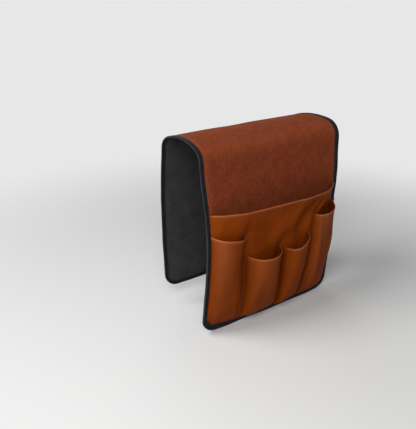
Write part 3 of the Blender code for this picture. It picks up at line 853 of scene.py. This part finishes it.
def gripDots(half):
    # a staggered lattice of points on the lining's underside, clear of the tape
    margin = coverSizes["lipLine"] + dotPitch
    across = np.arange(-sheetEdge + margin, sheetEdge - margin, dotPitch)
    down = np.arange(dotPitch / 2, fullLength(half) - margin, dotPitch * math.sqrt(3) / 2)
    x, d = np.meshgrid(across, down, indexing="ij")
    x = x + (np.arange(len(down)) % 2) * dotPitch / 2
    keep = inwards(half, x, d) > margin
    index = np.arange(keep.size).reshape(keep.shape)
    quads = np.stack([index[:-1, :-1], index[:-1, 1:], index[1:, 1:], index[1:, :-1]], axis=-1)
    whole = keep[:-1, :-1] & keep[:-1, 1:] & keep[1:, 1:] & keep[1:, :-1]
    item = meshObject("gripDots" + half["name"], rippled(half, x, d, 0.0), quads[whole].tolist())
    shape = bmesh.new()
    shape.from_mesh(item.data)
    bmesh.ops.delete(shape, geom=[vert for vert in shape.verts if not vert.link_faces], context="VERTS")
    shape.to_mesh(item.data)
    shape.free()
    settle(item, dotTree, half, gripRubber, dotSizes)
    return dressHalf(item)


# The leather pockets, with heights measured up the flap from its bottom edge. Each crease has its start,
# its end, its width and how far it presses the leather in, or lifts it where that is negative
hem = {"height": 0.0060, "thickness": 0.0008, "stitchBelow": 0.0044, "stitchWidth": 0.0010,
       "puff": 0.00035, "dip": 0.7, "rubAndSheen": 0.55, "rubReach": 0.0022, "spare": 0.00002, "arcPoints": 7}
seams = (-0.085, 0.006, 0.074)
seamSpacing = 0.0004
seamFlange = 0.0040
tapeFlanges = leatherLine(-sheetEdge, 1.0), leatherLine(sheetEdge, 1.0)
frontPockets = {
    "leftTallPocket": {
        "node": "left_tall_pocket", "edges": (-sheetEdge, seams[0] - seamSpacing),
        "flanges": (tapeFlanges[0], seamFlange), "mouth": (0.214, 0.1995), "swell": 0.018,
        "crest": 0.34, "shine": 0.30,
        "creases": ((-0.1490, 0.195, -0.1470, 0.040, 0.0070, -0.0008),
                    (-0.0975, 0.062, -0.0915, 0.016, 0.0035, 0.0022))},
    "leftShortPocket": {
        "node": "left_short_pocket", "edges": (seams[0] + seamSpacing, seams[1] - seamSpacing),
        "flanges": (seamFlange, seamFlange), "mouth": (0.157, 0.1555), "swell": 0.0295,
        "crest": 0.42, "shine": 0.20,
        "creases": ((-0.0690, 0.140, -0.0750, 0.040, 0.0090, -0.0016),
                    (-0.0500, 0.118, -0.0520, 0.040, 0.0140, 0.0024),
                    (-0.0020, 0.060, 0.0010, 0.014, 0.0040, 0.0022))},
    "rightShortPocket": {
        "node": "right_short_pocket", "edges": (seams[1] + seamSpacing, seams[2] - seamSpacing),
        "flanges": (seamFlange, seamFlange), "mouth": (0.151, 0.170), "swell": 0.0285,
        "crest": 0.31, "shine": 0.04,
        "creases": ((0.0680, 0.052, 0.0705, 0.014, 0.0035, 0.0022),)},
    "rightTallPocket": {
        "node": "right_tall_pocket", "edges": (seams[2] + seamSpacing, sheetEdge),
        "flanges": (seamFlange, tapeFlanges[1]), "mouth": (0.2065, 0.211), "swell": 0.0225,
        "crest": 0.40, "shine": 0.28,
        "creases": ((0.0860, 0.198, 0.0975, 0.046, 0.0066, -0.0036),
                    (0.1020, 0.194, 0.1150, 0.058, 0.0135, 0.0030),
                    (0.0850, 0.080, 0.0870, 0.014, 0.0040, 0.0020))},
}
magazineCreases = (
    (0.074, 0.238, 0.034, 0.176, 0.015, 0.0050),
    (0.034, 0.245, 0.010, 0.190, 0.020, -0.0022),
    (-0.053, 0.228, -0.057, 0.160, 0.024, 0.0044),
    (0.098, 0.238, 0.082, 0.205, 0.006, 0.0030),
    (0.118, 0.240, 0.128, 0.200, 0.008, 0.0020),
    (-0.090, 0.236, -0.079, 0.190, 0.006, 0.0014),
)
# The stitching draws the magazine pocket in along a seam: the seam, how far it stands out low down and is
# drawn in high up, the heights between which that changes, and the height above which the pocket is free
valleys = {
    "seams": ((seams[0], 0.0050, -0.0085, 0.030, 0.170, 0.200),
              (seams[1], 0.0050, -0.0080, 0.030, 0.140, 0.158)),
    "reach": 0.018,
    "free": 0.040,
}


def bellyStart(x):  # the height above the bottom where the leather leaves the tape
    line = leatherLine(x, 0.0)
    return np.maximum(edgeHeight(x, line + tapeWall), edgeHeight(x, tapeWall) + line)


def magazineSwell(x, height):
    across = np.clip(x / (sheetEdge - leatherLine(x, height)), -1, 1)
    low = bellyStart(x)
    up = np.clip((height - low) / (magazine["mouth"] - low), 0, 1)
    fullness = np.where(across < 0, magazine["leftFullness"], magazine["rightFullness"])
    bulge = (1 - np.abs(across) ** fullness) * (1 + magazine["skewShare"] * across)
    flare = magazine["flareShare"] * up ** magazine["flarePower"]
    belly = (1 - magazine["flareShare"]) * up ** magazine["bellyPower"]
    swell = magazine["swell"] * bulge * (belly + flare)
    for place, out, drawn, start, end, mouth in valleys["seams"]:
        depth = out + (drawn - out) * smoothStep((height - start) / (end - start))
        held = smoothStep((height - low) / start) * (1 - smoothStep((height - mouth) / valleys["free"]))
        swell = swell + depth * held * hump(x, place, valleys["reach"])
    return np.maximum(swell, 0)


# a low ridge runs along each side of a crease, at this many of its widths
creaseShape = {"ridge": 0.35, "ridgeAt": 1.7, "ends": 0.05, "taper": 0.7}


def creaseDepth(x, height, creases):
    depth = np.zeros(np.broadcast(x, height).shape)
    for startX, startHeight, endX, endHeight, width, deep in creases:
        alongX, alongHeight = endX - startX, endHeight - startHeight
        length = math.hypot(alongX, alongHeight)
        share = ((x - startX) * alongX + (height - startHeight) * alongHeight) / length ** 2
        inside = np.clip(share, 0, 1)
        away = np.hypot(x - startX - inside * alongX, height - startHeight - inside * alongHeight) / width
        within = inside * (1 - 2 * creaseShape["ends"]) + creaseShape["ends"]
        ridge = creaseShape["ridge"] * hump(away, creaseShape["ridgeAt"], 1)
        depth = depth + deep * np.sin(math.pi * within) ** creaseShape["taper"] * (hump(away, 0, 1) - ridge)
    return depth


def leatherPiece(name, x, heights, offsets, hemShare, marks, material):
    # a sheet of leather through the grid, with its mouth turned in: each column is one closed outline
    middle = np.stack(np.broadcast_arrays(x, fullLength(outerFlap) - heights, offsets), axis=-1)
    alongUp = np.gradient(middle, axis=1)
    normal = np.cross(alongUp, np.gradient(middle, axis=0))
    normal /= np.linalg.norm(normal, axis=-1, keepdims=True)
    up = alongUp / np.linalg.norm(alongUp, axis=-1, keepdims=True)
    wall = hem["thickness"]
    fromMouth = heights[:, -1:] - heights
    roll = np.sin(math.pi * np.clip(1 - fromMouth / hem["stitchBelow"], 0, 1))
    dip = hem["dip"] * hump(fromMouth, hem["stitchBelow"], hem["stitchWidth"])
    puff = hem["puff"] * (roll - dip) * hemShare[:, None]
    outer = middle + normal * (wall / 2 + puff)[..., None]
    inner = middle - normal * (wall / 2)
    turned = fromMouth[0] <= hem["height"] + 1e-6
    flapDepth = wall / 2 + wall * hemShare
    flap = (middle - normal * flapDepth[:, None, None])[:, turned]
    radius = ((wall / 2 + flapDepth) / 2)[:, None]
    centre = middle[:, -1] + normal[:, -1] * (wall / 2 - radius)
    arc = np.stack([centre + radius * (math.cos(angle) * normal[:, -1] + math.sin(angle) * up[:, -1])
                    for angle in np.linspace(0, math.pi, hem["arcPoints"] + 2)[1:-1]], axis=1)
    edgeRow = (middle - normal * (wall / 2 + hem["spare"]))[:, turned][:, :1]
    rings = np.concatenate([outer, arc, flap[:, ::-1], edgeRow, inner[:, ~turned][:, ::-1]], axis=1)
    rings = rippled(outerFlap, *np.moveaxis(rings, -1, 0))

    def aroundHem(values):
        atMouth = np.repeat(values[:, -1:], arc.shape[1], axis=1)
        inHem = values[:, turned]
        return np.concatenate([values, atMouth, inHem[:, ::-1], inHem[:, :1], values[:, ~turned][:, ::-1]],
                              axis=1)

    places = np.stack(np.broadcast_arrays(x, aroundHem(heights)), axis=-1)
    ringMarks = {label: aroundHem(values) for label, values in marks.items()}
    item = meshObject(name, rings, loftFaces(*rings.shape[:2]), places, ringMarks)
    settle(item, pieceTree, outerFlap, material)
    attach(item, outerFlap["body"])
    return item, outer


rowPlan = {"under": 6, "power": 1.25, "hem": 9}


def pocketRows(x, mouth, rows):
    # heights of a pocket's rows: under the tape, over the belly, and closer together in the hem
    low = edgeHeight(x, tapeWall + coverSizes["inset"])
    lip = bellyStart(x)
    hemStart = mouth - hem["height"]
    under = low + (lip - low) * np.linspace(0, 1, rowPlan["under"] + 1)[:-1]
    belly = lip + (hemStart - lip) * np.linspace(0, 1, rows) ** rowPlan["power"]
    top = hemStart + hem["height"] * np.linspace(0, 1, rowPlan["hem"] + 1)[1:]
    return np.concatenate([under, belly, top], axis=1)


def withFlanges(first, places, last, count):
    return np.concatenate([np.linspace(first, places[0], count)[:-1], places,
                           np.linspace(places[-1], last, count)[1:]])


def rubMarks(heights, belly):
    # lighter on the rolled mouth, partly where use rubs it and partly a painted highlight on its rounded
    # edge, and, a little, a painted sheen on the belly beside its fullest line
    return np.clip(hump(heights[:, -1:] - heights, 0, hem["rubReach"]) * hem["rubAndSheen"] + belly, 0, 1)


# painted shade in the creases
def creaseMarks(creases, shade):  # the bottoms of creases are darker
    return np.clip(creases / shade["full"], 0, shade["most"]) * shade["share"]


leatherThread = {"Pitch": 0.0033, "Stitch Length": 0.0028, "Thread Radius": 0.00026, "Seed": 8,
                 "proud": 0.000078}


def onLeather(line):  # a stitch line's points, lying on the leather and as limp as it
    return rippled(outerFlap, line[:, 0], line[:, 1], line[:, 2] + leatherThread["proud"])


def hemLine(outer, heights):
    fromMouth = heights[0, -1] - heights[0]
    return onLeather(outer[:, np.argmin(np.abs(fromMouth - hem["stitchBelow"]))])


def magazinePocket():
    left = leatherLine(-sheetEdge, magazine["mouth"]) - sheetEdge
    right = sheetEdge - leatherLine(sheetEdge, magazine["mouth"])
    turn = np.linspace(0, math.pi, magazine["columns"] + 1)
    even = magazine["evenShare"]
    share = (1 - np.cos(turn)) / 2 * (1 - even) + turn / math.pi * even
    edge = sheetEdge - coverSizes["inset"]
    across = withFlanges(-edge, left + (right - left) * share, edge, magazine["flangeColumns"])
    fromSide = np.minimum(across - left, right - across)
    least = magazine["hemLeast"]
    hemShare = least + (1 - least) * smoothStep(fromSide / magazine["ramp"])
    across = across[:, None]
    heights = pocketRows(across, np.full(across.shape, magazine["mouth"]), magazine["rows"])
    swell = magazineSwell(across, heights)
    inside = smoothStep(swell / magazine["ramp"])
    creases = creaseDepth(across, heights, magazineCreases) * inside
    drift = softWaves(across, heights * magazine["driftUp"], magazine["driftLength"], 31)
    fine = softWaves(across, heights, magazine["fineLength"], 32)
    drift = drift * magazine["drift"] + fine * magazine["fine"]
    offsets = panelTop - layer["leather"] / 2 + swell - creases + drift * inside
    # the rolled mouth is lighter, partly rubbed and partly a painted highlight, and the creases hold
    # painted shade
    marks = {"rubAndSheen": rubMarks(heights, 0.0) * hemShare[:, None],
             "poreAndShadeDark": creaseMarks(creases, magazine["shade"])}
    item, outer = leatherPiece("magazinePocket", across, heights, offsets, hemShare, marks, panelLeatherPaintedLighter)
    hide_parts("magazine_pocket")
    shown = fromSide > magazine["stitchesFrom"]
    return hemLine(outer[shown], heights[shown])


pocket = {
    "columns": 64, "rows": 90, "flangeColumns": 5, "mouthDip": 0.0015,
    "bellyPower": 2.4, "crestPower": 1.1, "lowReach": 0.006, "ramp": 0.005,
    "pucker": 0.00035, "puckerReach": 0.006, "puckerLength": 0.011, "drift": 0.0006, "driftLength": 0.045,
    "driftAcross": 1.6, "driftUp": 0.6,
    "hemLeast": 0.15, "hemFrom": 0.003, "hemReach": 0.003, "held": 0.004,
    "shineShift": 0.35, "shinePower": 6, "seamShade": 0.45, "seamPower": 3,
    "shade": {"full": 0.005, "most": 0.6, "share": 0.6},
}


def frontPocket(name, values, seed):
    left, right = values["edges"]
    atSeam = [flange == seamFlange for flange in values["flanges"]]
    leftInset, rightInset = (0.0 if sewn else coverSizes["inset"] for sewn in atSeam)
    start, end = left + values["flanges"][0], right - values["flanges"][1]
    turn = np.linspace(0, math.pi, pocket["columns"] + 1)
    skew = math.log(values["crest"]) / math.log(0.5)
    places = start + (end - start) * ((1 - np.cos(turn)) / 2) ** skew
    count = pocket["flangeColumns"]
    across = withFlanges(left + leftInset, places, right - rightInset, count)
    crest = np.pad(np.sin(turn), count - 1).clip(0, 1)
    shine = np.pad(np.sin(turn + pocket["shineShift"]), count - 1).clip(0, 1)[:, None]
    share = (across - left) / (right - left)
    low, high = values["mouth"]
    mouth = low + (high - low) * share - pocket["mouthDip"] * crest
    fromEdge = np.minimum(across - left, right - across)
    least = pocket["hemLeast"]
    hemShare = least + (1 - least) * smoothStep((fromEdge - pocket["hemFrom"]) / pocket["hemReach"])
    across, crest, mouth = across[:, None], crest[:, None], mouth[:, None]
    heights = pocketRows(across, mouth, pocket["rows"])
    low = bellyStart(across)
    up = np.clip((heights - low) / (mouth - low), 0, 1)
    belly = np.sqrt(1 - (1 - up) ** pocket["bellyPower"]) * crest ** pocket["crestPower"]
    swell = values["swell"] * belly * (1 - np.exp(-np.maximum(heights - low, 0) / pocket["lowReach"]))
    inside = smoothStep(swell / pocket["ramp"])
    creases = creaseDepth(across, heights, values["creases"]) * inside
    nearSeam = np.exp(-np.maximum(fromEdge[:, None] - pocket["held"], 0) / pocket["puckerReach"])
    pucker = pocket["pucker"] * nearSeam * softWaves(heights, 0.0, pocket["puckerLength"], seed)
    drift = softWaves(across * pocket["driftAcross"], heights * pocket["driftUp"], pocket["driftLength"],
                      seed + 1) * pocket["drift"]
    offsets = (stackTop - layer["leather"] / 2 + magazineSwell(across, heights) + swell - creases
               + (drift + pucker) * inside)
    # painted sheen: each belly is lighter on its lit left side, where shineShift moves the crest
    belly = values["shine"] * shine ** pocket["shinePower"] * up
    # painted shade in the valleys beside sewn seams, darkest away from the crest; there is none beside the
    # tape
    seamShade = pocket["seamShade"] * np.where(share < 0.5, *atSeam)[:, None]
    seamShade = seamShade * (1 - crest) ** pocket["seamPower"]
    marks = {"rubAndSheen": rubMarks(heights, belly) * hemShare[:, None],
             "poreAndShadeDark": creaseMarks(creases, pocket["shade"]) + seamShade}
    item, outer = leatherPiece(name, across, heights, offsets, hemShare, marks, pocketLeather)
    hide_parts(values["node"])
    lines = [hemLine(outer, heights)]
    for column, sewn in ((2, atSeam[0]), (len(across) - 3, atSeam[1])):
        if sewn:
            clear = heights[column] > edgeHeight(across[column], tape["lip"] + tapeWall)
            lines.append(onLeather(outer[column][clear]))
    return lines


for half in (outerFlap, innerTail):
    tapeHalf(half)
    tapeStitches(half)
    gripDots(half)
print("tape, its stitches and the grip dots made")

stitchLines = [magazinePocket()]
for number, (name, values) in enumerate(frontPockets.items()):
    stitchLines += frontPocket(name, values, 40 + 3 * number)
leatherStitches = polylines("leatherStitches", stitchLines)
settle(leatherStitches, rowTree, outerFlap, brownThread, leatherThread)
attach(leatherStitches, outerFlap["body"])
print("pockets sewn")

studio = {
    "camera": (-0.6667, -0.8034, 0.2588), "azimuth": -35.0, "elevation": 23.0,
    "pixels": 552.0, "longSide": 429.0,  # the photograph's focal length and height, in pixels
    "sensor": 36.0, "clip": (0.05, 200.0),
    "floorColour": (0.60, 0.60, 0.60, 1), "floorReach": 80.0, "floorDrop": 0.002,
    "pale": (0.80, 0.80, 0.80, 1), "paleFrom": 0.40, "paleTo": 1.15,
    "worldLight": 0.08, "worldColour": (0.97, 0.985, 1.0, 1), "worldShown": 0.80,
    "lampAim": (0.0, -0.05, -0.16),
    # each lamp's place, width across in metres, watts and colour
    "lamps": {"keyLamp": ((-1.3, -1.3, 1.1), 1.2, 39, (1.0, 0.99, 0.975)),
              "frontLamp": ((-0.7, -1.9, 0.15), 1.3, 5, (1.0, 1.0, 1.0)),
              "leftLamp": ((-1.7, -0.9, 0.1), 1.2, 4, (1.0, 1.0, 1.0)),
              "sideLamp": ((-1.2, 0.3, 1.3), 1.2, 29, (1.0, 1.0, 1.0)),
              "backLamp": ((0.7, 1.7, 0.6), 1.4, 8, (1.0, 1.0, 1.0))},
}


def aim(item, place, towards):
    item.location = place
    item.rotation_mode = "QUATERNION"
    item.rotation_quaternion = mathutils.Vector(np.subtract(towards, place)).to_track_quat("-Z", "Y")


def makeLamps():
    for name, (place, size, power, colour) in studio["lamps"].items():
        lamp = bpy.data.lights.new(name, "AREA")
        lamp.shape = "DISK"
        lamp.size = size
        lamp.energy = power
        lamp.color = colour
        aim(linked(name, lamp), place, studio["lampAim"])


def shownRays(tree):
    rays = tree.nodes.new("ShaderNodeLightPath").outputs
    seen = calc(tree, "MAXIMUM", rays["Is Camera Ray"], rays["Is Glossy Ray"])
    return calc(tree, "MAXIMUM", seen, rays["Is Transmission Ray"])


def makeFloor():
    # the floor holds the shadow near the object and fades to the plain pale background further out
    reach = studio["floorReach"]
    mesh = bpy.data.meshes.new("floor")
    mesh.from_pydata([(-reach, -reach, 0), (reach, -reach, 0), (reach, reach, 0), (-reach, reach, 0)], [],
                     [(0, 1, 2, 3)])
    mesh.transform(mathutils.Matrix.Translation((0, 0, cadBox[0][2] - studio["floorDrop"])))
    floor = linked("floor", mesh)
    material, tree, shader = newMaterial("paleFloor", Roughness=0.9, Specular_IOR_Level=0.1,
                                         Base_Color=studio["floorColour"])
    flat = addNode(tree, "ShaderNodeTexCoord").outputs["Object"]
    place = addNode(tree, "ShaderNodeSeparateXYZ", {0: flat}).outputs
    away = calc(tree, "SQRT", calc(tree, "ADD", calc(tree, "POWER", place[0], 2.0),
                                   calc(tree, "POWER", place[1], 2.0)))
    fade = made(tree, "ShaderNodeMapRange", {"Value": away, "From Min": studio["paleFrom"],
                                             "From Max": studio["paleTo"]}, interpolation_type="SMOOTHSTEP")
    share = calc(tree, "MULTIPLY", fade, shownRays(tree))
    plain = made(tree, "ShaderNodeEmission", {"Color": studio["pale"], "Strength": 1.0})
    mixed = made(tree, "ShaderNodeMixShader", {0: share, 1: shader.outputs[0], 2: plain})
    under = tree.nodes.new("ShaderNodeNewGeometry").outputs["Backfacing"]
    clear = made(tree, "ShaderNodeBsdfTransparent")
    shown = made(tree, "ShaderNodeMixShader", {0: under, 1: mixed, 2: clear})
    tree.links.new(shown, tree.nodes["Material Output"].inputs["Surface"])
    mesh.materials.append(material)


def makeWorld():
    world = bpy.data.worlds.new("studio")
    world.use_nodes = True
    tree = world.node_tree
    light = tree.nodes["Background"]
    light.inputs["Color"].default_value = studio["worldColour"]
    light.inputs["Strength"].default_value = studio["worldLight"]
    shown = made(tree, "ShaderNodeBackground", {"Color": (1, 1, 1, 1), "Strength": studio["worldShown"]})
    mixed = made(tree, "ShaderNodeMixShader", {0: shownRays(tree), 1: light.outputs[0], 2: shown})
    tree.links.new(mixed, tree.nodes["World Output"].inputs["Surface"])
    bpy.context.scene.world = world


def makeCamera():
    lens = bpy.data.cameras.new("camera")
    lens.sensor_width = studio["sensor"]
    lens.lens = studio["pixels"] / studio["longSide"] * lens.sensor_width
    lens.clip_start, lens.clip_end = studio["clip"]
    camera = linked("camera", lens)
    turn, rise = math.radians(studio["azimuth"]), math.radians(studio["elevation"])
    back = np.array([math.sin(turn) * math.cos(rise), -math.cos(turn) * math.cos(rise), math.sin(rise)])
    aim(camera, studio["camera"], studio["camera"] - back)
    bpy.context.scene.camera = camera


makeFloor()
makeWorld()
makeLamps()
makeCamera()
bpy.context.scene.view_settings.view_transform = "Standard"
print("studio and camera set")
